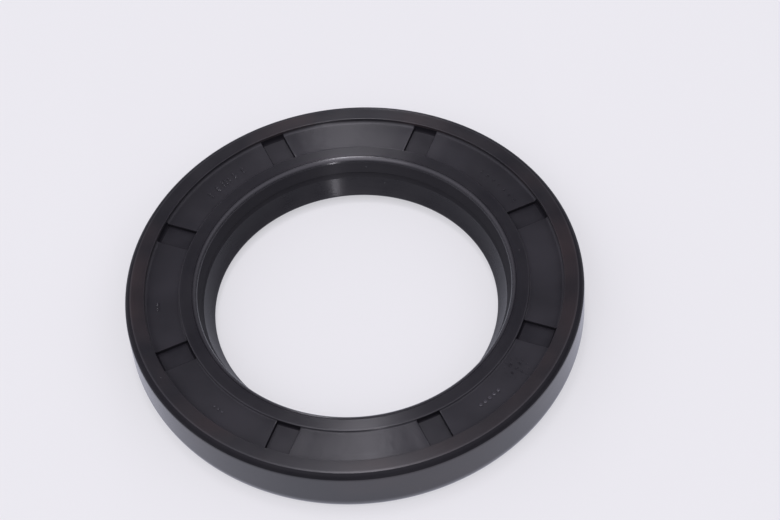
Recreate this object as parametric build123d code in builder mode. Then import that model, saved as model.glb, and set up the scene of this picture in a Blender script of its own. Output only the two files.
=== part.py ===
from build123d import *
import os
from math import radians, sqrt, tan

# Radial shaft seal: one moulded rubber body bonded round a pressed steel case, with a garter
# spring behind its sealing lip. Sizes are in millimetres.
#
# +Z is the shaft's axis and points out of the front (air) side. The origin is on that axis, in
# the plane of the back (oil) side, so the seal stands on Z = 0 with its front face up.
#
# Every piece is a ring, so every corner is a whole circle. Rounded corners are drawn as one flat
# that touches the middle of the round, which keeps the rings light.

# ---- What the seal fits ----
shaft_diameter = 70.0
housing_diameter = 110.0
seal_width = 13.0

# ---- Rubber outside and front face ----
press_allowance = 0.25      # on the diameter: the rubber is squeezed by this much in its housing
lead_length = 1.8           # chamfer that leads the seal into its housing, along the axis
lead_depth = 0.85           # and radially
rim_flat = 1.1              # front outer edge
rim_width = 4.7             # raised rim, from the outside diameter inwards
rim_draft = 0.15            # the rim's inner wall leans by this much over its height
rim_foot_flat = 0.7         # where that wall runs into the band
band_drop = 1.3             # recessed band below the rim
collar_drop = 0.6           # top of the collar below the rim
skin = 0.8                  # rubber between the band's surface and the case
collar_flat = 0.6           # inner edge of the collar's top
collar_edge_flat = 0.2      # outer edge of that top
collar_root_flat = 0.3      # where the collar's outer wall runs into the band

# ---- Pockets left by the pads that held the case in the mould ----
pocket_count = 8
pocket_width = 5.7

# ---- Collar, neck and sealing lip, as clearances from the shaft's surface ----
collar_outer_clearance = 7.1
collar_inner_clearance = 3.05
collar_foot_clearance = 1.8
neck_outer_clearance = 3.2  # back of the thin wall on which the lip flexes
root_flat = 0.8             # where that wall runs into the root
flank_height = 5.56         # from the contact land up to the moulded line at the collar's foot
line_depth = 0.6            # the moulded line is a fine V groove
line_width = 0.4
lip_interference = 1.4      # on the diameter: the free lip is this much smaller than the shaft
lip_height = 2.7            # middle of the contact land above the back plane
lip_land = 0.4
toe_height = 1.1            # the lip's back end stays clear of the back plane
air_flank_angle = 28.0      # both flanks are measured from the axis
oil_flank_angle = 45.0

# ---- Steel case: a pressed ring of L section ----
case_thickness = 1.2
cover_thickness = 1.6       # rubber over the case's cylindrical wall
end_cover = 1.2             # rubber over the end of that wall, at the back
return_thickness = 0.6      # the rubber wraps round that end and a little way up inside
return_length = 2.4
bend_flat = 0.5             # inside of the case's bend
case_bore_clearance = 5.0   # from the shaft to the inner edge of the case's web
root_overlap = 1.5          # the rubber grips that edge from below by this much
root_thickness = 0.9

# ---- Garter spring and its groove ----
coil_diameter = 2.0
groove_clearance = 0.05
groove_wall = 1.3           # rubber between the groove and the lip's air-side flank
spring_offset = 0.7         # the spring sits a little to the air side of the contact land
hook_overlap = 0.45         # the lip's hook reaches this far past the middle of the coil
hook_drop = 0.8             # and its end lies this far below it
hook_flat = 0.3
coil_sides = 8              # flats round the section of the coil and of its groove

# ---- Radii ----
shaft_radius = shaft_diameter / 2
outer_radius = (housing_diameter + press_allowance) / 2
band_outer_radius = outer_radius - rim_width
collar_outer_radius = shaft_radius + collar_outer_clearance
collar_inner_radius = shaft_radius + collar_inner_clearance
collar_foot_radius = shaft_radius + collar_foot_clearance
neck_outer_radius = shaft_radius + neck_outer_clearance
lip_radius = (shaft_diameter - lip_interference) / 2
case_outer_radius = outer_radius - cover_thickness
case_inner_radius = case_outer_radius - case_thickness
case_bore_radius = shaft_radius + case_bore_clearance
case_middle_radius = (case_outer_radius + case_inner_radius) / 2
return_radius = case_inner_radius - return_thickness
root_radius = case_bore_radius + root_overlap

# ---- Heights ----
band_height = seal_width - band_drop
collar_height = seal_width - collar_drop
web_top = band_height - skin
web_bottom = web_top - case_thickness
web_middle = (web_top + web_bottom) / 2
root_bottom = web_bottom - root_thickness
land_top = lip_height + lip_land / 2
land_bottom = lip_height - lip_land / 2

# ---- Bend of the case ----
# The sheet keeps its thickness across the bend, so a flat is longer the further out it lies.
flat_growth = 2 - sqrt(2)
outer_bend_flat = bend_flat + flat_growth * case_thickness
middle_bend_flat = bend_flat + flat_growth * case_thickness / 2

# ---- Lip and spring groove ----
air_slope = tan(radians(air_flank_angle))
oil_slope = tan(radians(oil_flank_angle))
line_height = land_top + flank_height
flank_top = line_height - line_width / 2
flank_top_radius = lip_radius + (flank_top - land_top) * air_slope
toe_radius = lip_radius + (land_bottom - toe_height) * oil_slope
coil_radius = coil_diameter / 2
groove_radius = coil_radius + groove_clearance
spring_height = lip_height + spring_offset
flank_at_spring = lip_radius + (spring_height - land_top) * air_slope
spring_ring_radius = flank_at_spring + groove_wall + groove_radius
hook_radius = spring_ring_radius + hook_overlap

os.makedirs("parts", exist_ok=True)


# A ring's section is drawn from its corners: radius from the axis, height, and how much the
# flat there takes off each side.
def ring_section(corners):
    with BuildSketch(Plane.XZ) as section:
        with BuildLine():
            Polyline([(radius, height) for radius, height, _ in corners], close=True)
        make_face()
        for radius, height, flat in corners:
            if flat:
                chamfer(section.vertices().sort_by_distance((radius, height))[0], flat)
    return section.sketch


# ---- Steel case ----
case_corners = [
    (case_outer_radius, end_cover, 0),
    (case_outer_radius, web_top, outer_bend_flat),
    (case_bore_radius, web_top, 0),
    (case_bore_radius, web_bottom, 0),
    (case_inner_radius, web_bottom, bend_flat),
    (case_inner_radius, end_cover, 0),
]

with BuildPart() as steel_case:
    revolve(ring_section(case_corners), axis=Axis.Z)

steel_case.part.label = "steel_case"
export_step(steel_case.part, "parts/steel_case.step")


# ---- Garter spring ----
# A close-wound coil, hooked into a ring. It is made as the ring that the coil fills.
with BuildPart() as garter_spring:
    with BuildSketch(Plane.XZ):
        with Locations((spring_ring_radius, spring_height)):
            RegularPolygon(coil_radius, coil_sides, major_radius=False, rotation=180 / coil_sides)
    revolve(axis=Axis.Z)

garter_spring.part.label = "garter_spring"
export_step(garter_spring.part, "parts/garter_spring.step")


# ---- Rubber body ----
# The outline runs through the middle of the steel, and the case is then taken out of the body.
# So the rubber fits the case face to face wherever it covers it, and leaves the inside bare.
lip_corners = [
    (lip_radius, land_top, 0),
    (lip_radius, land_bottom, 0),
    (toe_radius, toe_height, 0),
    (hook_radius, toe_height, hook_flat),
    (hook_radius, spring_height - hook_drop, 0),
    (spring_ring_radius, spring_height, 0),
    (neck_outer_radius, spring_height + groove_radius, 0),
]
inside_corners = [
    (neck_outer_radius, root_bottom, root_flat),
    (root_radius, root_bottom, 0),
    (root_radius, web_middle, 0),
    (case_middle_radius, web_middle, middle_bend_flat),
    (case_middle_radius, return_length, 0),
    (return_radius, return_length, 0),
    (return_radius, 0, 0),
]
outside_corners = [
    (outer_radius - lead_depth, 0, 0),
    (outer_radius, lead_length, 0),
    (outer_radius, seal_width, rim_flat),
]
front_corners = [
    (band_outer_radius, seal_width, 0),
    (band_outer_radius - rim_draft, band_height, rim_foot_flat),
    (collar_outer_radius, band_height, collar_root_flat),
    (collar_outer_radius, collar_height, collar_edge_flat),
    (collar_inner_radius, collar_height, collar_flat),
]
bore_corners = [
    (collar_foot_radius, line_height + line_width / 2, 0),
    (collar_foot_radius + line_depth, line_height, 0),
    (flank_top_radius, flank_top, 0),
]

rubber_corners = lip_corners + inside_corners + outside_corners + front_corners + bore_corners

with BuildPart() as rubber_body:
    revolve(ring_section(rubber_corners), axis=Axis.Z)

    # The spring's groove, open towards the housing.
    with BuildSketch(Plane.XZ):
        with Locations((spring_ring_radius, spring_height)):
            RegularPolygon(groove_radius, coil_sides, major_radius=False, rotation=180 / coil_sides)
    revolve(axis=Axis.Z, mode=Mode.SUBTRACT)

    # The pockets go through the skin to the case. Each has straight parallel sides, and ends
    # square at the collar and at the rim, where it cuts away the flats at their feet.
    with BuildSketch(Plane.XY.offset(web_top)):
        with PolarLocations(0, pocket_count, start_angle=180 / pocket_count):
            Rectangle(outer_radius, pocket_width, align=(Align.MIN, Align.CENTER))
        Circle(band_outer_radius - rim_draft, mode=Mode.INTERSECT)
        Circle(collar_outer_radius, mode=Mode.SUBTRACT)
    extrude(amount=seal_width - web_top, mode=Mode.SUBTRACT)

    # The case's seat.
    add(steel_case.part, mode=Mode.SUBTRACT)

rubber_body.part.label = "rubber_body"
export_step(rubber_body.part, "parts/rubber_body.step")
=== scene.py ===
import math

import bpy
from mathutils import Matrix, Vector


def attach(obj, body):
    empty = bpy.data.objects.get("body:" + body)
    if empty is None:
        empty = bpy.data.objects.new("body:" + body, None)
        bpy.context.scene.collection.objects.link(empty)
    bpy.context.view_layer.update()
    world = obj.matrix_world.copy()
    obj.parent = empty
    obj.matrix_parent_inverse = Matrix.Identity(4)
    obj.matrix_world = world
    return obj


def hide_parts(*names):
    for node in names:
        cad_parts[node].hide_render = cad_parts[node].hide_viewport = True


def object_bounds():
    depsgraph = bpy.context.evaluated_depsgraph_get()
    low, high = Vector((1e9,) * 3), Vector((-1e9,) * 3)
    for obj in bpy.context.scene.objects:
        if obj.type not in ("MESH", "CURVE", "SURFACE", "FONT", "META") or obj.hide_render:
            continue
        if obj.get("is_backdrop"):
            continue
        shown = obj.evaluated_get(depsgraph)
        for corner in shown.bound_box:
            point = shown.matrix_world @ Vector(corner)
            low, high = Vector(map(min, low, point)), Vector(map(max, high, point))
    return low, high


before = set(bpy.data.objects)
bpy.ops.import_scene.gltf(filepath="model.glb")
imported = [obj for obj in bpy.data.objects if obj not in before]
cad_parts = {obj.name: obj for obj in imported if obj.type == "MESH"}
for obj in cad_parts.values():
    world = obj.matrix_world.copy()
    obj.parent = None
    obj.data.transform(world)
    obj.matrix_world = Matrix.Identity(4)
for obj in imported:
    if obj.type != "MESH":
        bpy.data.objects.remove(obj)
cad_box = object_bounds()

# %% [markdown]
# # A radial shaft seal, from its frame to its finish
#
# The seal keeps oil in a housing where a 70 mm shaft leaves it. It is one ring of black rubber,
# moulded round a pressed steel case. A thin sealing lip runs on the shaft, and a garter spring
# behind the lip keeps it pressed on.
#
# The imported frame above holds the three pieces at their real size, with plain flats for their
# roundings. Here each of them is remade with true curves, at the same place and size, and gets
# its finish. Everything is a ring round the Z axis, so one way of working serves them all:
#
# 1. draw half of the section as an outline, beside the axis;
# 2. round its corners;
# 3. spin it once round the axis.

MM = 0.001                  # the frame is in metres, and a seal is drawn in millimetres

lowest, highest = (corner / MM for corner in cad_box)
OUTER_RADIUS = (highest.x - lowest.x) / 2
SEAL_WIDTH = highest.z - lowest.z
print(f"The frame is {2 * OUTER_RADIUS:.2f} mm across and {SEAL_WIDTH:.2f} mm wide.")

# %% [markdown]
# ## Sizes
#
# A seal's section is set by the shaft and the housing. The values are written once here, in
# millimetres, and every outline below is worked out from them. Heights are counted from the
# back face, which lies on the floor, and radii from the shaft's axis.

# %% Sizes of the front face and the bore
SHAFT_RADIUS = 35.0

RIM_INNER = OUTER_RADIUS - 4.7      # the raised rim round the front face
RIM_FOOT = RIM_INNER - 0.15         # its inner wall leans a little
BAND_TOP = SEAL_WIDTH - 1.3         # the recessed band
COLLAR_TOP = SEAL_WIDTH - 0.6       # the collar round the bore
COLLAR_OUTER = SHAFT_RADIUS + 7.1
COLLAR_INNER = SHAFT_RADIUS + 3.05
COLLAR_FOOT = SHAFT_RADIUS + 1.8

LIP_RADIUS = SHAFT_RADIUS - 0.7     # the free lip is smaller than its shaft
LIP_TOP, LIP_BOTTOM = 2.9, 2.5      # the narrow land that touches the shaft
LINE_HEIGHT = LIP_TOP + 5.56        # a fine V line, between the collar's foot and the flank
LINE_HALF = 0.2                     # half its width
LINE_DEPTH = 0.6
FLANK_TOP = LINE_HEIGHT - LINE_HALF
FLANK_ANGLE = math.radians(28)      # the lip's flank leans by this much from the axis,
FLANK_HOLLOW = 0.42                 # and is a little hollow at its middle
FLANK_RADIUS = LIP_RADIUS + (FLANK_TOP - LIP_TOP) * math.tan(FLANK_ANGLE)
FLANK_MIDDLE = (FLANK_TOP + LIP_TOP) / 2
FLANK_MIDDLE_RADIUS = (FLANK_RADIUS + LIP_RADIUS) / 2 + FLANK_HOLLOW
print(f"The lip is {SHAFT_RADIUS - LIP_RADIUS:.2f} mm inside the shaft's surface, and its flank "
      f"{FLANK_TOP - LIP_TOP:.2f} mm high.")

# %% Sizes of the oil side, the case and the spring
NECK_OUTER = SHAFT_RADIUS + 3.2     # back of the thin wall that carries the lip
TOE_RADIUS, TOE_HEIGHT = 35.7, 1.1  # the lip's back end
HOOK_RADIUS = 37.37                 # its hook, which keeps the spring in
ROOT_RADIUS, ROOT_HEIGHT = 41.5, 8.8        # the rubber grips the case's inner edge from below,
RETURN_RADIUS, RETURN_HEIGHT = 51.725, 2.4  # and wraps round the end of its wall
LEAD_DEPTH, LEAD_LENGTH = 0.85, 1.8         # the chamfer that leads the seal into its housing

CASE_OUTER = OUTER_RADIUS - 1.6
CASE_THICKNESS = 1.2
CASE_INNER = CASE_OUTER - CASE_THICKNESS
CASE_BORE = SHAFT_RADIUS + 5.0
CASE_END = 1.2
WEB_TOP = BAND_TOP - 0.8            # the pockets end on this face of the case
WEB_BOTTOM = WEB_TOP - CASE_THICKNESS
BEND_RADIUS = 0.8

COIL_RADIUS = 1.0
GROOVE_RADIUS = 1.05
SPRING_RADIUS = 36.92
SPRING_HEIGHT = 3.4

# %% Sizes of the pockets
POCKET_COUNT = 8
POCKET_WIDTH = 5.7
FIRST_POCKET = 22.5                 # degrees

RIM_FILLET = 0.6                    # reach of the hollow where the rim's wall meets the band
COLLAR_FILLET = 0.35                # and of the one at the collar's foot
FLAT_OUTER = RIM_FOOT - RIM_FILLET  # between them the band is flat
FLAT_INNER = COLLAR_OUTER + COLLAR_FILLET
WALL_SHARE = RIM_FILLET / math.hypot(BAND_TOP - SEAL_WIDTH, RIM_INNER - RIM_FOOT)
POCKET_END = RIM_FOOT + WALL_SHARE * (RIM_INNER - RIM_FOOT)     # the top of the rim's hollow
POCKET_TOP = BAND_TOP + WALL_SHARE * (SEAL_WIDTH - BAND_TOP)
print(f"The pockets go {BAND_TOP - WEB_TOP:.2f} mm down, from the band to the steel.")

# %% [markdown]
# ## Camera
#
# The camera is settled first, because every later choice is judged through it. It looks down at
# the seal from the front through a long lens, held slightly tilted, and the seal lies a little
# off the middle of the picture.

# %% Camera
CAMERA_TURN = 2.3                   # degrees round the seal, away from straight in front
CAMERA_HEIGHT = 53.3                # degrees above the floor
CAMERA_ROLL = -5.4
CAMERA_DISTANCE = 623.0
CAMERA_LENS = 118.2                 # on a 36 mm sensor
AIM_RIGHT, AIM_UP = 8.0, 12.8       # where it aims, from the seal's axis on the floor


def add_camera():
    turn = (Matrix.Rotation(math.radians(CAMERA_TURN), 4, "Z")
            @ Matrix.Rotation(math.radians(90 - CAMERA_HEIGHT), 4, "X")
            @ Matrix.Rotation(math.radians(CAMERA_ROLL), 4, "Z"))
    bpy.ops.object.camera_add()
    camera = bpy.context.object
    camera.name = "camera"
    camera.data.sensor_width = 36
    camera.data.lens = CAMERA_LENS
    camera.data.clip_start = 0.01
    place = turn @ Vector((AIM_RIGHT, AIM_UP, CAMERA_DISTANCE)) * MM
    camera.matrix_world = Matrix.Translation(place) @ turn
    bpy.context.scene.camera = camera
    return camera


camera = add_camera()
print("The camera stands at", [round(v, 3) for v in camera.location])

# %% [markdown]
# ## Drawing a ring
#
# A lathe hand would say that the whole seal is one profile. In Blender the profile can be a
# curve with a Screw modifier, a mesh outline with a Screw modifier, or a mesh outline that the
# Spin operator turns. The last is used here: vertex bevels give each corner its own rounding
# before the spin, and the spun mesh is ready for the edit-mode work on the pockets.
#
# An outline is a list of corners. Each has its radius, its height, and the reach of its
# rounding, which is how far from the corner the rounding starts.


# %% Helpers: selecting by place
CLOSE = 0.01                # millimetres: what is nearer than this counts as being there


def deselect_all():
    if bpy.context.mode != "OBJECT":
        bpy.ops.object.mode_set(mode="OBJECT")
    bpy.ops.object.select_all(action="DESELECT")


def choose(piece, kind, wanted):
    """Selects the vertices, edges or faces of a piece for which wanted(item) is true."""
    if bpy.context.mode != "OBJECT":
        bpy.ops.object.mode_set(mode="OBJECT")
    mesh = piece.data
    for items in (mesh.vertices, mesh.edges, mesh.polygons):
        items.foreach_set("select", [False] * len(items))
    items = {"VERT": mesh.vertices, "EDGE": mesh.edges, "FACE": mesh.polygons}[kind]
    count = 0
    for item in items:
        item.select = bool(wanted(item))
        count += item.select
    bpy.ops.object.mode_set(mode="EDIT")
    bpy.ops.mesh.select_mode(type=kind)
    return count


def radius_of(point):
    return math.hypot(point[0], point[1]) / MM


def place_of(face):
    """The radius and the height of a face's middle, in millimetres."""
    return radius_of(face.center), face.center.z / MM


# %% Helpers: outline, rounding, spin
STEPS = 360                 # faces round a ring


def draw_outline(name, corners):
    """Draws a closed outline in the XZ plane: one vertex, extruded from corner to corner."""
    deselect_all()
    bpy.ops.mesh.primitive_plane_add(size=MM)
    piece = bpy.context.object
    piece.name = name
    bpy.ops.object.mode_set(mode="EDIT")
    bpy.ops.mesh.merge(type="CENTER")
    bpy.ops.transform.translate(value=(corners[0][0] * MM, 0, corners[0][1] * MM))
    for here, there in zip(corners, corners[1:]):
        step = ((there[0] - here[0]) * MM, 0, (there[1] - here[1]) * MM)
        bpy.ops.mesh.extrude_region_move(TRANSFORM_OT_translate={"value": step})
    ends = (0, len(corners) - 1)
    choose(piece, "VERT", lambda vertex: vertex.index in ends)
    bpy.ops.mesh.edge_face_add()
    bpy.ops.mesh.select_all(action="SELECT")
    bpy.ops.mesh.edge_face_add()
    return piece


def round_corners(piece, corners, segments):
    """Bevels each corner of the outline that has a reach."""
    for radius, height, reach in corners:
        if not reach:
            continue
        corner = Vector((radius * MM, 0, height * MM))
        choose(piece, "VERT", lambda vertex: (vertex.co - corner).length < MM / 1000)
        bpy.ops.mesh.bevel(offset=reach * MM, segments=segments, affect="VERTICES",
                           clamp_overlap=False)


def spin_outline(steps=STEPS):
    """Turns the outline once round the Z axis and closes the ring."""
    bpy.ops.object.mode_set(mode="EDIT")
    bpy.ops.mesh.select_all(action="SELECT")
    bpy.ops.mesh.delete(type="ONLY_FACE")
    bpy.ops.mesh.select_all(action="SELECT")
    bpy.ops.mesh.spin(steps=steps, angle=math.tau, center=(0, 0, 0), axis=(0, 0, 1))
    bpy.ops.mesh.select_all(action="SELECT")
    bpy.ops.mesh.remove_doubles(threshold=MM / 1000)
    bpy.ops.mesh.normals_make_consistent(inside=False)
    bpy.ops.object.mode_set(mode="OBJECT")


def make_ring(name, corners, segments=5):
    piece = draw_outline(name, corners)
    round_corners(piece, corners, segments)
    spin_outline()
    print(f"{name}: {len(piece.data.vertices)} vertices, {len(piece.data.polygons)} faces")
    return piece


# %% [markdown]
# ## Steel case
#
# The case stiffens the seal and holds it in its housing. It is sheet steel pressed to an L, so
# its bend has one thickness all the way round: the outer radius is the inner one plus the sheet.
# Its cut edges are only broken. Most of it is buried in rubber. It shows from the back, and at
# the bottom of the pockets in front.

# %% Steel case
EDGE_BREAK = 0.12           # reach of the rounding on a cut edge

CASE_CORNERS = [
    (CASE_OUTER, CASE_END, EDGE_BREAK),
    (CASE_OUTER, WEB_TOP, BEND_RADIUS + CASE_THICKNESS),
    (CASE_BORE, WEB_TOP, EDGE_BREAK),
    (CASE_BORE, WEB_BOTTOM, EDGE_BREAK),
    (CASE_INNER, WEB_BOTTOM, BEND_RADIUS),
    (CASE_INNER, CASE_END, EDGE_BREAK),
]
steel_case = make_ring("pressed_case", CASE_CORNERS, segments=6)

# %% [markdown]
# ## Rubber body
#
# The body's outline starts at the lip's land and goes round the section: under the lip and round
# the spring's groove, up the neck, along the case, round the outside, across the front face and
# down the bore. The groove is two rounded corners whose radius is the groove's own.
#
# Where the rubber lies on the case the outline has two more points, under the band's edges.
# They are where the pockets' walls will end. The band itself is divided by four more, so that it
# can swell a little beside the pockets. The lip's flank has a point with a long rounding at its
# middle, which makes it hollow.

# %% Rubber body: outline
LIP_CORNERS = [
    (LIP_RADIUS, LIP_TOP, 0.15),
    (LIP_RADIUS, LIP_BOTTOM, 0.15),
    (TOE_RADIUS, TOE_HEIGHT, 0.3),
    (HOOK_RADIUS, TOE_HEIGHT, 0.35),
    (HOOK_RADIUS, SPRING_HEIGHT - GROOVE_RADIUS, 0.15),
    (SPRING_RADIUS - GROOVE_RADIUS, SPRING_HEIGHT - GROOVE_RADIUS, GROOVE_RADIUS),
    (SPRING_RADIUS - GROOVE_RADIUS, SPRING_HEIGHT + GROOVE_RADIUS, GROOVE_RADIUS),
    (NECK_OUTER, SPRING_HEIGHT + GROOVE_RADIUS, 0.2),
]
INSIDE_CORNERS = [
    (NECK_OUTER, ROOT_HEIGHT, 1.2),
    (ROOT_RADIUS, ROOT_HEIGHT, 0.3),
    (ROOT_RADIUS, WEB_BOTTOM, 0),
    (CASE_BORE, WEB_BOTTOM, 0),
    (CASE_BORE, WEB_TOP, 0),
    (FLAT_INNER, WEB_TOP, 0),
    (FLAT_OUTER, WEB_TOP, 0),
    (CASE_OUTER, WEB_TOP, BEND_RADIUS + CASE_THICKNESS),
    (CASE_OUTER, CASE_END, 0),
    (CASE_INNER, CASE_END, 0),
    (CASE_INNER, RETURN_HEIGHT, 0),
    (RETURN_RADIUS, RETURN_HEIGHT, 0.25),
    (RETURN_RADIUS, 0, 0.3),
]
OUTSIDE_CORNERS = [
    (OUTER_RADIUS - LEAD_DEPTH, 0, 0.3),
    (OUTER_RADIUS, LEAD_LENGTH, 1.2),
    (OUTER_RADIUS, SEAL_WIDTH, 1.85),
]
BAND_CORNERS = [(radius, BAND_TOP, 0) for radius in (48.2, 46.6, 45.0, 43.4)]
FRONT_CORNERS = [
    (RIM_INNER, SEAL_WIDTH, 0.12),
    (RIM_FOOT, BAND_TOP, RIM_FILLET),
    *BAND_CORNERS,
    (COLLAR_OUTER, BAND_TOP, COLLAR_FILLET),
    (COLLAR_OUTER, COLLAR_TOP, 0.33),
    (COLLAR_INNER, COLLAR_TOP, 1.0),
]
BORE_CORNERS = [
    (COLLAR_FOOT, LINE_HEIGHT + LINE_HALF, 0.05),
    (COLLAR_FOOT + LINE_DEPTH, LINE_HEIGHT, 0),
    (FLANK_RADIUS, FLANK_TOP, 0.05),
    (FLANK_MIDDLE_RADIUS, FLANK_MIDDLE, 2.2),
]
rubber_body = make_ring("moulded_rubber", LIP_CORNERS + INSIDE_CORNERS + OUTSIDE_CORNERS
                        + FRONT_CORNERS + BORE_CORNERS)

# %% [markdown]
# ## Pockets
#
# While the rubber is moulded, eight small pads hold the case off the mould's floor. Each leaves
# a pocket through the thin skin of the band, down to the steel. Its two sides are parallel and
# straight. It ends at the walls of the rim and the collar, where the hollows at their feet are
# deeper in a pocket and land on the steel.
#
# A Boolean could cut them, but it would leave long thin faces round the band. Instead, two
# bisects per pocket score its sides into the faces, and the strip between them is extruded. A
# stretch downwards brings its middle to the steel and leaves its top end in place. Then the
# middle is taken away, and the same strip of the face under the skin with it.


# %% Pockets: scoring the sides
def pocket_axes(index):
    """The directions along and across a pocket."""
    angle = math.radians(FIRST_POCKET + index * 360 / POCKET_COUNT)
    along = Vector((math.cos(angle), math.sin(angle), 0))
    return along, Vector((-along.y, along.x, 0))


def on_skin(face, index, half_width):
    """Whether a face is one of the skin's, above or under it, and within that of the pocket."""
    along, across = pocket_axes(index)
    radius, height = place_of(face)
    above = BAND_TOP - CLOSE < height < POCKET_TOP
    under = abs(height - WEB_TOP) < CLOSE
    near = face.center.dot(along) > 0 and abs(face.center.dot(across)) < half_width * MM
    return (above or under) and near and COLLAR_OUTER < radius < POCKET_END


def score_pocket(piece, index):
    across = pocket_axes(index)[1]
    for side in (-1, 1):
        choose(piece, "FACE", lambda face: on_skin(face, index, POCKET_WIDTH))
        bpy.ops.mesh.bisect(plane_co=across * side * POCKET_WIDTH / 2 * MM, plane_no=across,
                            threshold=MM / 10000)


for index in range(POCKET_COUNT):
    score_pocket(rubber_body, index)
print("Scored faces:", len(rubber_body.data.polygons))

# %% [markdown]
# The band isn't quite flat beside a pocket: the rubber flowed round the pad last there, and
# stands a little proud of the rest. Proportional editing raises the scored lines, and less and
# less of what lies near them. Everything but the band is hidden first, because hidden faces
# stay where they are.

# %% Pockets: the raised band beside them
SWELL_HEIGHT = 0.05         # how far the band is raised at a pocket's side,
SWELL_REACH = 3.6           # and how far from there the swell runs out


def on_pocket_side(point):
    for index in range(POCKET_COUNT):
        along, across = pocket_axes(index)
        if point.dot(along) > 0 and abs(abs(point.dot(across)) - POCKET_WIDTH / 2 * MM) < MM / 1000:
            return True
    return False


def is_pocket_rim(edge):
    """The upper edges along a pocket's sides, which run between the collar and the rim."""
    ends = [rubber_body.data.vertices[i].co for i in edge.vertices]
    middle = (ends[0] + ends[1]) / 2
    return (all(end.z > (BAND_TOP - CLOSE) * MM and on_pocket_side(end) for end in ends)
            and COLLAR_OUTER < radius_of(middle) < POCKET_END)


def on_open_band(face):
    radius, height = place_of(face)
    return abs(height - BAND_TOP) < CLOSE and COLLAR_OUTER < radius < RIM_FOOT


def raise_pocket_sides():
    choose(rubber_body, "FACE", on_open_band)
    bpy.ops.mesh.hide(unselected=True)
    count = choose(rubber_body, "EDGE", lambda edge: is_pocket_rim(edge) and not edge.hide)
    bpy.ops.transform.translate(value=(0, 0, SWELL_HEIGHT * MM), use_proportional_edit=True,
                                proportional_edit_falloff="SMOOTH",
                                proportional_size=SWELL_REACH * MM)
    bpy.ops.mesh.reveal(select=False)
    bpy.ops.object.mode_set(mode="OBJECT")
    return count


print("Raised edges:", raise_pocket_sides())
print("Highest point of the band:", round(max(
    v.co.z for v in rubber_body.data.vertices if 44 < radius_of(v.co) < 48) / MM, 3))


# %% Pockets: which faces and points belong to them
UNEVEN = 0.4                # what the swell comes to at the bottom of a stretched strip


def in_pocket(face):
    return any(on_skin(face, index, POCKET_WIDTH / 2) for index in range(POCKET_COUNT))


def on_floor(face):
    radius, height = place_of(face)
    return FLAT_INNER < radius < FLAT_OUTER and in_pocket(face) and abs(height - WEB_TOP) < CLOSE


def on_spoke(point):
    """Whether a point is on one of the ring's spokes, between two of its faces."""
    turns = math.degrees(math.atan2(point.y, point.x)) * STEPS / 360
    return abs(turns - round(turns)) < 0.001


def between_corners(vertex):
    """The points at the foot of a pocket's side that the face under the skin doesn't have."""
    inside = FLAT_INNER + 0.05 < radius_of(vertex.co) < FLAT_OUTER - 0.05
    level = abs(vertex.co.z / MM - WEB_TOP) < 0.001
    return inside and level and on_pocket_side(vertex.co) and not on_spoke(vertex.co)


def on_steel(vertex):
    """The points of the stretched strip that belong on the steel."""
    flat = FLAT_INNER - 0.02 < radius_of(vertex.co) < FLAT_OUTER + 0.02
    return vertex.select and flat and vertex.co.z / MM < WEB_TOP + UNEVEN


# %% Pockets: opening them
def sink_pockets(piece):
    """Stretches the strips between the scored lines down to the steel."""
    above = (WEB_TOP + BAND_TOP) / 2 * MM
    count = choose(piece, "FACE", lambda face: in_pocket(face) and face.center.z > above)
    stretch = (POCKET_TOP - WEB_TOP) / (POCKET_TOP - BAND_TOP)
    bpy.ops.mesh.extrude_region_move()
    bpy.ops.transform.resize(value=(1, 1, stretch), center_override=(0, 0, POCKET_TOP * MM))
    bpy.ops.object.mode_set(mode="OBJECT")
    landed = {vertex.index for vertex in piece.data.vertices if on_steel(vertex)}
    choose(piece, "VERT", lambda vertex: vertex.index in landed)
    bpy.ops.transform.resize(value=(1, 1, 0), center_override=(0, 0, WEB_TOP * MM))
    return count


def clear_floors(piece):
    """Takes away the middle of each strip, and the skin's underside below it."""
    choose(piece, "FACE", lambda face: on_floor(face) and face.normal.z > 0)
    bpy.ops.mesh.delete(type="FACE")
    choose(piece, "VERT", between_corners)
    bpy.ops.mesh.dissolve_verts()
    choose(piece, "FACE", on_floor)
    bpy.ops.mesh.delete(type="FACE")
    bpy.ops.mesh.select_all(action="SELECT")
    bpy.ops.mesh.remove_doubles(threshold=MM / 1000)
    bpy.ops.mesh.select_mode(type="EDGE")
    bpy.ops.mesh.select_all(action="DESELECT")
    bpy.ops.mesh.select_non_manifold()
    bpy.ops.object.mode_set(mode="OBJECT")
    return sum(edge.select for edge in piece.data.edges)


print("Faces pushed down:", sink_pockets(rubber_body))
print("Edges left open:", clear_floors(rubber_body))

# %% [markdown]
# A moulded edge is never sharp. The pockets' upper edges get a small bevel, up to where they
# climb the rim's hollow, which is rounded by itself. Then the shading: smooth by angle keeps the
# sharp edges, and a Weighted Normal modifier makes the wide flat faces rule the shading, so that
# only the roundings look round.

# %% Pockets: breaking their edges
POCKET_EDGE = 0.13          # reach of the bevel
CLIMB = 0.2                 # above the band by this much, the rim's hollow is steep


def is_bevelled(edge):
    ends = [rubber_body.data.vertices[i].co for i in edge.vertices]
    return is_pocket_rim(edge) and all(end.z < (BAND_TOP + CLIMB) * MM for end in ends)


print("Pocket edges:", choose(rubber_body, "EDGE", is_bevelled))
bpy.ops.mesh.bevel(offset=POCKET_EDGE * MM, segments=3, affect="EDGES", clamp_overlap=False)
bpy.ops.mesh.select_all(action="SELECT")
bpy.ops.mesh.normals_make_consistent(inside=False)


def smooth(piece, angle):
    deselect_all()
    piece.select_set(True)
    bpy.context.view_layer.objects.active = piece
    bpy.ops.object.shade_smooth_by_angle(angle=math.radians(angle))


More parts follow.
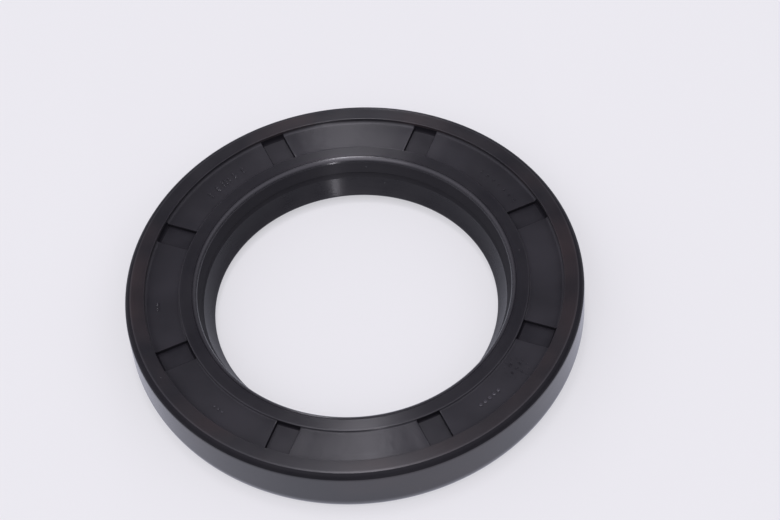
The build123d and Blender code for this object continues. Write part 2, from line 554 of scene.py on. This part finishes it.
def finish_shading(piece, angle):
    smooth(piece, angle)
    weights = piece.modifiers.new("weights", "WEIGHTED_NORMAL")
    weights.keep_sharp = True
    weights.weight = 80
    bpy.ops.object.modifier_apply(modifier=weights.name)


finish_shading(rubber_body, 40)
finish_shading(steel_case, 40)

# %% [markdown]
# ## Garter spring
#
# A garter spring is a coil of thin wire, wound close, bent round and hooked into itself. One
# turn is modelled: a circle of wire, swept once round the coil's axis by a Screw modifier, which
# also moves it along by the pitch. An Array makes the whole length of it, and a Curve modifier
# bends that length round the groove, as a fitter does.
#
# A real curve with a bevel would need thousands of points for the same shape. The turn has only
# fifty faces, because it is repeated hundreds of times.

# %% Garter spring: one turn
WIRE_RADIUS = 0.175
TURNS = 600


def draw_path():
    """The circle round which the coil is bent."""
    bpy.ops.curve.primitive_bezier_circle_add(radius=SPRING_RADIUS * MM)
    path = bpy.context.object
    path.data.resolution_u = 90
    return path


deselect_all()
spring_path = draw_path()
PITCH = spring_path.data.splines[0].calc_length() / MM / TURNS
print(f"The wire is {2 * WIRE_RADIUS:.2f} mm thick, and a turn takes {PITCH:.4f} mm.")


def apply_modifiers(piece):
    deselect_all()
    piece.select_set(True)
    bpy.context.view_layer.objects.active = piece
    for modifier in list(piece.modifiers):
        bpy.ops.object.modifier_apply(modifier=modifier.name)


def wind_turn():
    """One turn of wire round the X axis."""
    deselect_all()
    bpy.ops.mesh.primitive_circle_add(vertices=5, radius=WIRE_RADIUS * MM)
    piece = bpy.context.object
    bpy.ops.object.mode_set(mode="EDIT")
    bpy.ops.mesh.select_all(action="SELECT")
    bpy.ops.transform.translate(value=(0, (COIL_RADIUS - WIRE_RADIUS) * MM, 0))
    bpy.ops.object.mode_set(mode="OBJECT")
    turn = piece.modifiers.new("turn", "SCREW")
    turn.axis = "X"
    turn.angle = math.tau
    turn.screw_offset = PITCH * MM
    turn.steps = turn.render_steps = 10
    apply_modifiers(piece)
    return piece


# %% Garter spring: the whole coil, bent round
def bend_coil(piece, path):
    """Repeats a turn along X and bends the length into a ring round Z."""
    length = piece.modifiers.new("length", "ARRAY")
    length.count = TURNS
    length.use_relative_offset = False
    length.use_constant_offset = True
    length.constant_offset_displace = (PITCH * MM, 0, 0)
    length.use_merge_vertices = True
    length.merge_threshold = MM / 1000
    ring = piece.modifiers.new("ring", "CURVE")
    ring.object = path
    apply_modifiers(piece)
    bpy.data.objects.remove(path)
    bpy.ops.object.mode_set(mode="EDIT")
    bpy.ops.mesh.select_all(action="SELECT")
    bpy.ops.transform.translate(value=(0, 0, SPRING_HEIGHT * MM))
    bpy.ops.mesh.remove_doubles(threshold=MM / 100)
    bpy.ops.mesh.normals_make_consistent(inside=False)
    bpy.ops.object.mode_set(mode="OBJECT")


garter_spring = wind_turn()
garter_spring.name = "coil_spring"
bend_coil(garter_spring, spring_path)
smooth(garter_spring, 60)
print("Coil:", len(garter_spring.data.polygons), "faces,",
      [round(size / MM, 2) for size in garter_spring.dimensions], "mm")

# %% [markdown]
# ## Moulded marks
#
# A mould leaves its own marks on the band: a dial that says when the part was made, and rows of
# plain ticks and dots that number the cavities. They stand up by about a fifth of a millimetre.
# Each kind is modelled once, and its copies get their own mesh before they are joined into one
# piece.

# %% Moulded marks: one tick and one dot
MARK_HEIGHT = 0.22
MARK_SUNK = 0.04            # its foot lies in the rubber
MARK_DEPTH = MARK_HEIGHT + MARK_SUNK


def round_mark(piece, reach):
    """Bevels a mark's edges, as a cutter leaves them in the mould."""
    bpy.ops.object.mode_set(mode="EDIT")
    bpy.ops.mesh.select_all(action="SELECT")
    bpy.ops.mesh.bevel(offset=reach * MM, segments=2, affect="EDGES")
    bpy.ops.object.mode_set(mode="OBJECT")
    return piece


def make_tick(length, width):
    deselect_all()
    bpy.ops.mesh.primitive_cube_add(size=MM)
    tick = bpy.context.object
    bpy.ops.object.mode_set(mode="EDIT")
    bpy.ops.mesh.select_all(action="SELECT")
    bpy.ops.transform.resize(value=(length, width, MARK_DEPTH))
    bpy.ops.object.mode_set(mode="OBJECT")
    return round_mark(tick, 0.05)


def make_dot(radius, vertices=16):
    deselect_all()
    bpy.ops.mesh.primitive_cylinder_add(vertices=vertices, radius=radius * MM,
                                        depth=MARK_DEPTH * MM)
    dot = bpy.context.object
    choose(dot, "FACE", lambda face: face.normal.z > 0.9)
    bpy.ops.mesh.bevel(offset=0.06 * MM, segments=3, affect="EDGES")
    bpy.ops.object.mode_set(mode="OBJECT")
    return dot


# %% Moulded marks: placing copies on the band
def place_mark(piece, radius, angle, lean=0.0):
    """Copies a mark to a place on the band. Its X side points away from the axis."""
    deselect_all()
    copy = piece.copy()
    copy.data = piece.data.copy()
    bpy.context.collection.objects.link(copy)
    turn = Matrix.Rotation(math.radians(angle), 4, "Z")
    height = BAND_TOP + (MARK_HEIGHT - MARK_SUNK) / 2
    spot = Matrix.Translation(Vector((radius, 0, height)) * MM)
    copy.data.transform(turn @ spot @ Matrix.Rotation(math.radians(lean), 4, "Z"))
    return copy


def row_of(piece, radius, first, last, count, lean):
    return [place_mark(piece, radius, first + (last - first) * i / (count - 1), lean)
            for i in range(count)]


long_tick, short_tick, fine_tick = make_tick(1.9, 0.34), make_tick(1.2, 0.3), make_tick(0.9, 0.16)
dot, small_dot = make_dot(0.42), make_dot(0.24, 12)
MARK_ROWS = (
    # The mark, its radius, its first and last angle in degrees, how many there are, and the lean.
    (long_tick, 45.6, 139.2, 125.8, 5, 0),
    (short_tick, 45.6, 136.2, 128.8, 4, 0),
    (small_dot, 45.6, 44.5, 29.5, 7, 0),
    (dot, 46.4, -45.3, -52.3, 5, 0),
    (fine_tick, 47.2, 182.6, 185.0, 5, 35),
    (small_dot, 46.6, -135.6, -132.6, 3, 0),
)
marks = [mark for row in MARK_ROWS for mark in row_of(*row)]
print("Ticks and dots:", len(marks))

# %% [markdown]
# The dial is a ring with twelve ticks, an arrow that a toolmaker turns, and four plain numbers.
# The ring is one more outline that is spun. The numbers are text, made a mesh at once.

# %% Moulded marks: the dial
DIAL_ANGLE, DIAL_RADIUS = -36.0, 46.0       # where it is on the band
DIAL_SIZE = 2.35                    # radius of its ring,
DIAL_LINE = 0.12                    # and half the ring's width
NUMBER_SIZE, NUMBER_RADIUS = 1.15, 1.6


def dial_ring():
    half = MARK_DEPTH / 2
    corners = [(DIAL_SIZE - DIAL_LINE, -half, 0), (DIAL_SIZE + DIAL_LINE, -half, 0),
               (DIAL_SIZE + DIAL_LINE, half, 0.05), (DIAL_SIZE - DIAL_LINE, half, 0.05)]
    ring = draw_outline("dial_ring", corners)
    round_corners(ring, corners, 2)
    spin_outline(48)
    return ring


def dial_number(text, hour):
    deselect_all()
    bpy.ops.object.text_add()
    number = bpy.context.object
    number.data.body = text
    number.data.size = NUMBER_SIZE * MM
    number.data.extrude = MARK_DEPTH / 2 * MM
    number.data.resolution_u = 4
    number.data.align_x, number.data.align_y = "CENTER", "CENTER"
    bpy.ops.object.convert(target="MESH")
    number = bpy.context.object
    angle = math.radians(90 - hour * 30)
    number.data.transform(Matrix.Translation(
        Vector((math.cos(angle), math.sin(angle), 0)) * NUMBER_RADIUS * MM))
    # A number reads upright from outside the seal, with its top towards the axis.
    number.data.transform(Matrix.Rotation(math.radians(90), 4, "Z"))
    return number


def dial_parts():
    parts = [dial_ring()] + [dial_number(str(hour), hour) for hour in (3, 6, 9, 12)]
    for hour in range(12):
        tick = make_tick(0.28, 0.1)
        tick.data.transform(Matrix.Translation(Vector((DIAL_SIZE + 0.42, 0, 0)) * MM))
        tick.data.transform(Matrix.Rotation(math.radians(hour * 30), 4, "Z"))
        parts.append(tick)
    deselect_all()
    bpy.ops.mesh.primitive_cone_add(vertices=3, radius1=0.42 * MM, radius2=0.3 * MM,
                                    depth=MARK_DEPTH * MM)
    arrow = bpy.context.object
    arrow.data.transform(Matrix.Scale(1.6, 4, Vector((0, 1, 0))))
    arrow.data.transform(Matrix.Rotation(math.radians(-40), 4, "Z"))
    return parts + [arrow]


dial = dial_parts()
marks += [place_mark(part, DIAL_RADIUS, DIAL_ANGLE) for part in dial]
for pattern in dial + [long_tick, short_tick, fine_tick, dot, small_dot]:
    bpy.data.objects.remove(pattern)


# %% Moulded marks: one piece
def join(pieces, name):
    deselect_all()
    for piece in pieces:
        piece.select_set(True)
    bpy.context.view_layer.objects.active = pieces[0]
    bpy.ops.object.join()
    whole = bpy.context.object
    whole.name = name
    bpy.ops.object.mode_set(mode="EDIT")
    bpy.ops.mesh.select_all(action="SELECT")
    bpy.ops.mesh.remove_doubles(threshold=MM / 5000)
    bpy.ops.mesh.normals_make_consistent(inside=False)
    bpy.ops.object.mode_set(mode="OBJECT")
    return whole


moulded_marks = join(marks, "moulded_marks")
smooth(moulded_marks, 40)
print("Marks:", len(moulded_marks.data.polygons), "faces")

# %% [markdown]
# ## Standing in for the imported pieces
#
# Each new piece rides on the body that it belongs to. The seal has no moving parts, so that is
# its one body, the root. Three of them stand for a imported piece, which is hidden from here on,
# and the marks are an addition.

# %% Stand in for the imported pieces
for piece, node in ((rubber_body, "rubber_body"), (steel_case, "steel_case"),
                    (garter_spring, "garter_spring")):
    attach(piece, "root")
    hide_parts(node)
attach(moulded_marks, "root")

# %% [markdown]
# ## Finishes
#
# Every finish is made of nodes, and reads its place from Object coordinates, so it stays with
# the seal from any side. The helpers below add a node and set or link its inputs in one line,
# and turn the coordinates into millimetres, because that is how one thinks of a grain.


# %% Helpers: nodes
def start_finish(name):
    material = bpy.data.materials.new(name)
    material.use_nodes = True
    return material, material.node_tree, material.node_tree.nodes["Principled BSDF"]


def put(tree, kind, inputs, **options):
    """Adds a node, and sets or links each of its inputs."""
    node = tree.nodes.new("ShaderNode" + kind)
    for option, value in options.items():
        setattr(node, option, value)
    for key, value in inputs.items():
        if isinstance(value, bpy.types.NodeSocket):
            tree.links.new(value, node.inputs[key])
        else:
            node.inputs[key].default_value = value
    return node


def place_in_mm(tree):
    place = put(tree, "TexCoord", {}).outputs["Object"]
    return put(tree, "VectorMath", {0: place, "Scale": 1 / MM}, operation="SCALE").outputs[0]


def noise(tree, place, size, detail=2.0):
    """Cloudy noise whose clouds are about that many millimetres across."""
    inputs = {"Vector": place, "Scale": 1 / size, "Detail": detail, "Roughness": 0.55}
    return put(tree, "TexNoise", inputs).outputs["Fac"]


def remap(tree, value, start, end, low=0.0, high=1.0):
    """Turns start..end into low..high, and holds it there outside."""
    inputs = {"Value": value, "From Min": start, "From Max": end, "To Min": low, "To Max": high}
    return put(tree, "MapRange", inputs).outputs["Result"]


def maths(tree, operation, one, other):
    return put(tree, "Math", {0: one, 1: other}, operation=operation).outputs[0]


def mix_colours(tree, share, one, other):
    return put(tree, "Mix", {0: share, 6: one, 7: other}, data_type="RGBA").outputs[2]


# %% [markdown]
# ### Patterns of a turned mould
#
# The mould for a seal is cut on a lathe, and the rubber copies its tool marks as fine rings. A
# pattern that depends only on radius and height is the same all the way round, so noise on those
# two makes such rings. The same trick carries the light: with an anisotropic shader whose
# tangent runs round the axis, highlights stretch across the rings into the narrow rays that one
# sees on a turned disc.


# %% Patterns
def ring_place(tree, place):
    """Radius and height as the two coordinates of a pattern."""
    flat = put(tree, "VectorMath", {0: place, 1: (1, 1, 0)}, operation="MULTIPLY").outputs[0]
    radius = put(tree, "VectorMath", {0: flat}, operation="LENGTH").outputs["Value"]
    height = put(tree, "SeparateXYZ", {0: place}).outputs["Z"]
    return put(tree, "CombineXYZ", {"X": radius, "Y": height}).outputs[0]


def specks(tree, place, spacing, size):
    """1 in small spots scattered about that far apart, and 0 elsewhere."""
    cells = put(tree, "TexVoronoi", {"Vector": place, "Scale": 1 / spacing, "Randomness": 1.0})
    chance = put(tree, "SeparateColor", {0: cells.outputs["Color"]}).outputs["Red"]
    reach = maths(tree, "MULTIPLY", remap(tree, chance, 0.55, 1.0), size / spacing)
    return maths(tree, "LESS_THAN", cells.outputs["Distance"], reach)


# %% [markdown]
# ### Rubber
#
# Nitrile rubber is near black, a little blue where it is fresh and brown where the wax in it has
# bloomed. One function makes all its finishes, which differ in how the mould was cut there, turned
# finely or coarsely or polished, and in painted shade and highlight. Its bump has three scales: the
# lathe's rings, a fine grain, and the slow waves of a surface that was never quite flat.
#
# Some finishes are painted shade: the rim's outer rounding, the pockets' walls and the V line get
# darker copies of the rubber, whose lower index of refraction dims their highlights. The marks'
# lighter colour is painted highlight.

# %% Rubber: one function for its finishes
FRESH = (0.0070, 0.0066, 0.0085, 1)
WORN = (0.0102, 0.0096, 0.0112, 1)
DUST = (0.22, 0.22, 0.22, 1)
CLOUD_SIZE, PATCH_SIZE, WAVE_SIZE = 7.0, 22.0, 3.2      # millimetres across
RING_SIZE, GRAIN_SIZE = 0.22, 0.16
GRAIN_HEIGHT = 0.0007
SPECK_SPACING, SPECK_SIZE = 4.5, 0.14


def turn_highlights(tree, shader, anisotropy):
    """Stretches the highlights across the rings that a lathe leaves."""
    shader.inputs["Anisotropic"].default_value = anisotropy
    shader.inputs["Anisotropic Rotation"].default_value = 0.25
    tangent = put(tree, "Tangent", {}, direction_type="RADIAL", axis="Z")
    tree.links.new(tangent.outputs["Tangent"], shader.inputs["Tangent"])


def add_bump(tree, shader, height):
    """Links a height in millimetres to the shader's normal."""
    bump = put(tree, "Bump", {"Height": height, "Distance": MM, "Strength": 1.0})
    tree.links.new(bump.outputs["Normal"], shader.inputs["Normal"])


def rubber_finish(name, bloom, bloom_share, roughness, rings, waves, anisotropy, index):
    material, tree, shader = start_finish(name)
    place = place_in_mm(tree)
    round_place = ring_place(tree, place)

    clouds = noise(tree, place, CLOUD_SIZE, 4.0)
    colour = mix_colours(tree, remap(tree, clouds, 0.35, 0.7), FRESH, WORN)
    patches = remap(tree, noise(tree, place, PATCH_SIZE), 0.45, 0.68, 0.0, bloom_share)
    colour = mix_colours(tree, patches, colour, bloom)
    colour = mix_colours(tree, specks(tree, place, SPECK_SPACING, SPECK_SIZE), colour, DUST)
    tree.links.new(colour, shader.inputs["Base Color"])

    lines = noise(tree, round_place, RING_SIZE, 3.0)
    grain = noise(tree, place, GRAIN_SIZE, 1.0)
    change = maths(tree, "ADD", remap(tree, clouds, 0.3, 0.7, 0.01, 0.05),
                   remap(tree, lines, 0.3, 0.7, -0.02, 0.02))
    tree.links.new(maths(tree, "ADD", change, roughness), shader.inputs["Roughness"])

    slow = noise(tree, place, WAVE_SIZE, 2.0)
    height = maths(tree, "MULTIPLY", lines, rings)
    height = maths(tree, "ADD", height, maths(tree, "MULTIPLY", slow, waves))
    height = maths(tree, "ADD", height, maths(tree, "MULTIPLY", grain, GRAIN_HEIGHT))
    add_bump(tree, shader, height)

    shader.inputs["IOR"].default_value = index
    if anisotropy:
        turn_highlights(tree, shader, anisotropy)
    return material


# %% Rubber: its finishes
BROWN = (0.024, 0.0165, 0.0165, 1)
FILM = (0.0200, 0.0188, 0.0218, 1)
# Painted highlight: the marks are lighter than the rubber round them, as if light caught their
# raised edges.
MARK_PAINTED_HIGHLIGHT = (0.0620, 0.0600, 0.0670, 1)
GREY = (0.0140, 0.0132, 0.0155, 1)

RUBBER_FINISHES = {
    # The bloom's colour and its share, the roughness, the height of the rings and of the waves
    # in millimetres, how far the highlights are stretched, and the index of refraction.
    "rim_rubber": (BROWN, 0.9, 0.32, 0.0015, 0.008, 0.7, 1.62),
    # Painted shade: a dimmer copy of the rim's rubber on its outer rounding, where it mirrors the
    # dark room in front.
    "edge_painted_shade_rubber": (GREY, 0.3, 0.45, 0.0006, 0.002, 0.0, 1.24),
    "side_rubber": (BROWN, 0.7, 0.17, 0.0006, 0.007, 0.0, 1.64),
    "turned_rubber": (GREY, 0.3, 0.29, 0.0018, 0.003, 0.95, 1.62),
    "rounded_rubber": (GREY, 0.3, 0.21, 0.0015, 0.003, 0.9, 1.62),
    "bore_rubber": (GREY, 0.3, 0.48, 0.0030, 0.004, 1.0, 1.36),
    "lip_rubber": (GREY, 0.3, 0.26, 0.0060, 0.004, 0.9, 1.46),
    "band_rubber": (FILM, 0.9, 0.36, 0.0022, 0.030, 1.0, 1.62),
    # Painted shade: a darker copy of the rubber for the pockets' walls and the fine V line, where
    # shade falls.
    "recess_painted_shade_rubber": (GREY, 0.3, 0.50, 0.0010, 0.004, 0.0, 1.18),
    "mark_rubber": (MARK_PAINTED_HIGHLIGHT, 1.0, 0.24, 0.0005, 0.004, 0.0, 1.62),
}
rubber = {name: rubber_finish(name, *values) for name, values in RUBBER_FINISHES.items()}
print("Finishes of the rubber:", ", ".join(rubber))

# %% [markdown]
# The body is one casting, so its finishes change from face to face and not from piece to piece.
# Each is given to the faces that lie where that part of the mould was. A later one takes faces
# from an earlier one: first everything is rim, then the side is set apart, and so on.


# %% Rubber: where the faces of each finish are
POLISHED_HEIGHT = 7.1       # below it the lip comes from a polished part of the mould


def on_side(face):
    radius, height = place_of(face)
    return radius > OUTER_RADIUS - 1.0 and height < BAND_TOP


def on_edge(face):
    """The rim's outer rounding, but not its last few degrees at either end. It gets painted shade.
    """
    radius, height = place_of(face)
    return radius > OUTER_RADIUS - 2.5 and height > BAND_TOP - 1 and 0.26 < face.normal.z < 0.94


def on_band(face):
    radius, height = place_of(face)
    return COLLAR_OUTER - CLOSE < radius < POCKET_END and WEB_TOP < height < POCKET_TOP


def on_collar(face):
    return radius_of(face.center) < COLLAR_OUTER and not on_band(face)


def on_rounding(face):
    """The collar's inner rounding."""
    radius, height = place_of(face)
    return (COLLAR_INNER - 0.5 < radius < COLLAR_INNER + 1.0 and height > COLLAR_TOP - 1.0
            and 0.3 < face.normal.z < 0.995)


def on_bore(face):
    radius, height = place_of(face)
    return radius < COLLAR_INNER and height > POLISHED_HEIGHT


def on_lip(face):
    radius, height = place_of(face)
    return radius < COLLAR_INNER and height < POLISHED_HEIGHT


# %% Rubber: the deep places, which get painted shade
def on_line(face):
    """The inside of the fine V line."""
    radius, height = place_of(face)
    return (abs(height - LINE_HEIGHT) < LINE_HALF
            and COLLAR_FOOT + 0.1 < radius < COLLAR_FOOT + LINE_DEPTH)


def on_pocket_wall(face):
    """A pocket's sides and ends, with the small bevels along their tops."""
    if not on_band(face):
        return False
    for index in range(POCKET_COUNT):
        along, across = pocket_axes(index)
        aside = abs(face.center.dot(across)) / MM - POCKET_WIDTH / 2
        bevelled = aside < 0.2 and face.normal.z < 0.97
        if face.center.dot(along) > 0 and (aside < -CLOSE or bevelled):
            return True
    return False


# The faces that get painted shade: the pockets' walls and the inside of the fine V line.
def in_deep_place(face):
    return on_pocket_wall(face) or on_line(face)


# %% Rubber: giving the finishes
def give_finish(piece, material, wanted):
    """Adds a finish to a piece, and assigns it to the faces that are wanted."""
    piece.data.materials.append(material)
    piece.active_material_index = len(piece.data.materials) - 1
    count = choose(piece, "FACE", wanted)
    bpy.ops.object.material_slot_assign()
    bpy.ops.object.mode_set(mode="OBJECT")
    return count


deselect_all()
bpy.context.view_layer.objects.active = rubber_body
# The rim's outer rounding and the deep places get darker finishes, which are painted shade.
for name, wanted in (("rim_rubber", lambda face: True), ("side_rubber", on_side),
                     ("turned_rubber", on_collar), ("bore_rubber", on_bore),
                     ("rounded_rubber", on_rounding), ("lip_rubber", on_lip),
                     ("band_rubber", on_band), ("edge_painted_shade_rubber", on_edge),
                     ("recess_painted_shade_rubber", in_deep_place)):
    print(f"Faces with {name}:", give_finish(rubber_body, rubber[name], wanted))
moulded_marks.data.materials.append(rubber["mark_rubber"])

# %% [markdown]
# ### Steel
#
# The case is dipped in a black bonding agent, which the rubber holds on to, and which stays as a
# thin satin coat where the case is bare. The spring is plain drawn wire, with a little oil on it.

# %% Steel
STEEL_COAT = (0.0098, 0.0093, 0.0116, 1)
STEEL_COAT_WORN = (0.0150, 0.0140, 0.0165, 1)
WIRE = (0.44, 0.43, 0.42, 1)
WIRE_DULL = (0.33, 0.31, 0.29, 1)


def coated_steel_finish():
    material, tree, shader = start_finish("coated_steel")
    place = place_in_mm(tree)
    clouds = noise(tree, place, 5.0, 4.0)
    colour = mix_colours(tree, remap(tree, clouds, 0.35, 0.7), STEEL_COAT, STEEL_COAT_WORN)
    tree.links.new(colour, shader.inputs["Base Color"])
    tree.links.new(remap(tree, clouds, 0.3, 0.7, 0.40, 0.50), shader.inputs["Roughness"])
    turn_highlights(tree, shader, 0.8)
    lines = noise(tree, ring_place(tree, place), 0.3, 3.0)
    grain = noise(tree, place, 0.12, 1.0)
    add_bump(tree, shader, maths(tree, "ADD", maths(tree, "MULTIPLY", lines, 0.003),
                                 maths(tree, "MULTIPLY", grain, 0.004)))
    return material


def wire_finish():
    material, tree, shader = start_finish("spring_wire")
    place = place_in_mm(tree)
    clouds = noise(tree, place, 1.5, 3.0)
    colour = mix_colours(tree, remap(tree, clouds, 0.35, 0.7), WIRE, WIRE_DULL)
    tree.links.new(colour, shader.inputs["Base Color"])
    tree.links.new(remap(tree, clouds, 0.3, 0.7, 0.22, 0.4), shader.inputs["Roughness"])
    shader.inputs["Metallic"].default_value = 1.0
    bump = put(tree, "Bump", {"Height": noise(tree, place, 0.05, 1.0), "Distance": 0.002 * MM,
                              "Strength": 1.0})
    tree.links.new(bump.outputs["Normal"], shader.inputs["Normal"])
    return material


steel_case.data.materials.append(coated_steel_finish())
garter_spring.data.materials.append(wire_finish())
print("Finishes of the steel:", steel_case.active_material.name,
      garter_spring.active_material.name)

# %% [markdown]
# ## Floor
#
# The seal lies on a sheet of pale paper, a little bluish. The paper keeps the seal's shadow. Part
# of its brightness is given off for whoever looks at it, straight or in a reflection, so that
# the shadow stays as light as it is in a white studio.

# %% Floor
PAPER = (0.82, 0.825, 0.79, 1)          # what lights the seal from below
PAPER_SEEN = (0.815, 0.809, 0.845, 1)   # what shows in the picture,
PAPER_MIRRORED = (0.77, 0.79, 0.95, 1)  # and in the rubber
PAPER_GLOW = 0.6                        # share of its brightness that a shadow can't take
FLOOR_SIZE = 8                          # metres


def paper_finish():
    material, tree, shader = start_finish("floor_paper")
    shader.inputs["Base Color"].default_value = PAPER
    shader.inputs["Roughness"].default_value = 0.9
    shader.inputs["Specular IOR Level"].default_value = 0.1
    rays = put(tree, "LightPath", {})
    seen = maths(tree, "MAXIMUM", rays.outputs["Is Camera Ray"], rays.outputs["Is Glossy Ray"])
    seen = maths(tree, "MAXIMUM", seen, rays.outputs["Is Transmission Ray"])
    seen_colour = mix_colours(tree, rays.outputs["Is Glossy Ray"], PAPER_SEEN, PAPER_MIRRORED)
    glow = put(tree, "Emission", {"Color": seen_colour, "Strength": 1.0})
    share = maths(tree, "MULTIPLY", seen, PAPER_GLOW)
    both = put(tree, "MixShader", {0: share, 1: shader.outputs[0], 2: glow.outputs[0]})
    output = tree.nodes["Material Output"]
    tree.links.new(both.outputs[0], output.inputs["Surface"])
    return material


deselect_all()
bpy.ops.mesh.primitive_plane_add(size=FLOOR_SIZE)
floor = bpy.context.object
floor.name = "floor"
floor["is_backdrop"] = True
floor.data.materials.append(paper_finish())
print("The floor is", floor.dimensions.x, "m wide.")

# %% [markdown]
# ## Light
#
# Black rubber shows little but what it reflects, so the lights are placed for their reflections.
# The room is pale above and to the sides, but dim where the flat faces mirror it, and dim low
# down in front. Five softboxes stand in it. The two overhead are in line with the camera and draw
# the fine rays across the band and the collar: a soft one, and a narrow, stronger core. A low
# strip in front does the same in the bore, a strip behind shows in the roundings that lean away
# from the camera, and a wide, weak one in front softens it all. Such a room would show in the
# picture, so for the camera itself the lamps are hidden and the backdrop is even and pale.

# %% World
BACKDROP = (0.82, 0.813, 0.862, 1)
HIGH = (1.28, 1.23, 1.44, 1)
LOW_FRONT = (0.04, 0.04, 0.046, 1)
LOW_REAR = (0.58, 0.56, 0.66, 1)
REAR = (-0.5, 0.87, 0)              # towards the back of the room, and a little to the left
FRONT_TO_REAR = (-0.6, 0.7)         # the cosines to that way between which it changes,
LOW_TO_HIGH = (0.2, 0.75)           # and the heights, where 1 is straight up
SHADE = (0.05, 0.048, 0.060, 1)
SHADE_SIDE = 92.3                   # the middle of the dim part, in degrees round from +X,
SHADE_HEIGHT = 53                   # and in degrees up
SHADE_EDGE, SHADE_CORE = 42, 14     # it grows between these many degrees from its middle


def direction_of(side, height):
    turn, rise = math.radians(side), math.radians(height)
    return Vector((math.cos(turn) * math.cos(rise), math.sin(turn) * math.cos(rise),
                   math.sin(rise)))


def nearness(tree, direction, other):
    """The cosine of the angle between two directions."""
    inputs = {0: direction, 1: tuple(other)}
    return put(tree, "VectorMath", inputs, operation="DOT_PRODUCT").outputs["Value"]


def studio_world():
    world = bpy.data.worlds.new("studio")
    bpy.context.scene.world = world
    world.use_nodes = True
    tree = world.node_tree
    direction = put(tree, "TexCoord", {}).outputs["Generated"]
    rise = put(tree, "SeparateXYZ", {0: direction}).outputs["Z"]
    rear = remap(tree, nearness(tree, direction, REAR), *FRONT_TO_REAR)
    low = mix_colours(tree, rear, LOW_FRONT, LOW_REAR)
    colour = mix_colours(tree, remap(tree, rise, *LOW_TO_HIGH), low, HIGH)
    near = nearness(tree, direction, direction_of(SHADE_SIDE, SHADE_HEIGHT))
    shade = remap(tree, near, math.cos(math.radians(SHADE_EDGE)),
                  math.cos(math.radians(SHADE_CORE)))
    colour = mix_colours(tree, shade, colour, SHADE)
    rays = put(tree, "LightPath", {})
    colour = mix_colours(tree, rays.outputs["Is Camera Ray"], colour, BACKDROP)
    background = tree.nodes["Background"]
    tree.links.new(colour, background.inputs["Color"])
    background.inputs["Strength"].default_value = 1.0
    return world


print("World:", studio_world().name)


# %% Lamps
LAMP_TINT = (1.0, 0.97, 1.06)
SOFTBOXES = (
    # Name, width and depth in metres, strength, degrees round from +X and up, and metres away.
    ("overhead_softbox", 0.08, 0.36, 19.0, 112.0, 81.5, 1.5),
    ("rear_strip", 0.10, 0.45, 5.0, 87.0, 17, 1.5),
    ("overhead_core", 0.014, 0.36, 95.0, 92.3, 81.5, 1.45),
    ("low_strip", 0.025, 0.22, 110.0, -82.0, 9, 1.5),
    ("front_softbox", 0.9, 0.9, 1.2, -110.0, 60, 1.6),
)


def add_softbox(name, width, depth, strength, side, height, distance):
    """An area lamp that faces the seal."""
    place = direction_of(side, height)
    lamp = bpy.data.lights.new(name, "AREA")
    lamp.shape = "RECTANGLE"
    lamp.size, lamp.size_y = width, depth
    lamp.energy = strength * width * depth * math.pi
    lamp.color = LAMP_TINT
    piece = bpy.data.objects.new(name, lamp)
    bpy.context.scene.collection.objects.link(piece)
    aim = (-place).to_track_quat("-Z", "Y").to_matrix().to_4x4()
    piece.matrix_world = Matrix.Translation(place * distance) @ aim
    piece.visible_camera = False
    return piece


print("Softboxes:", [add_softbox(*values).name for values in SOFTBOXES])
bpy.context.scene.view_settings.view_transform = "Standard"

# %% The sizes of the finished scene
lowest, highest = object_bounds()
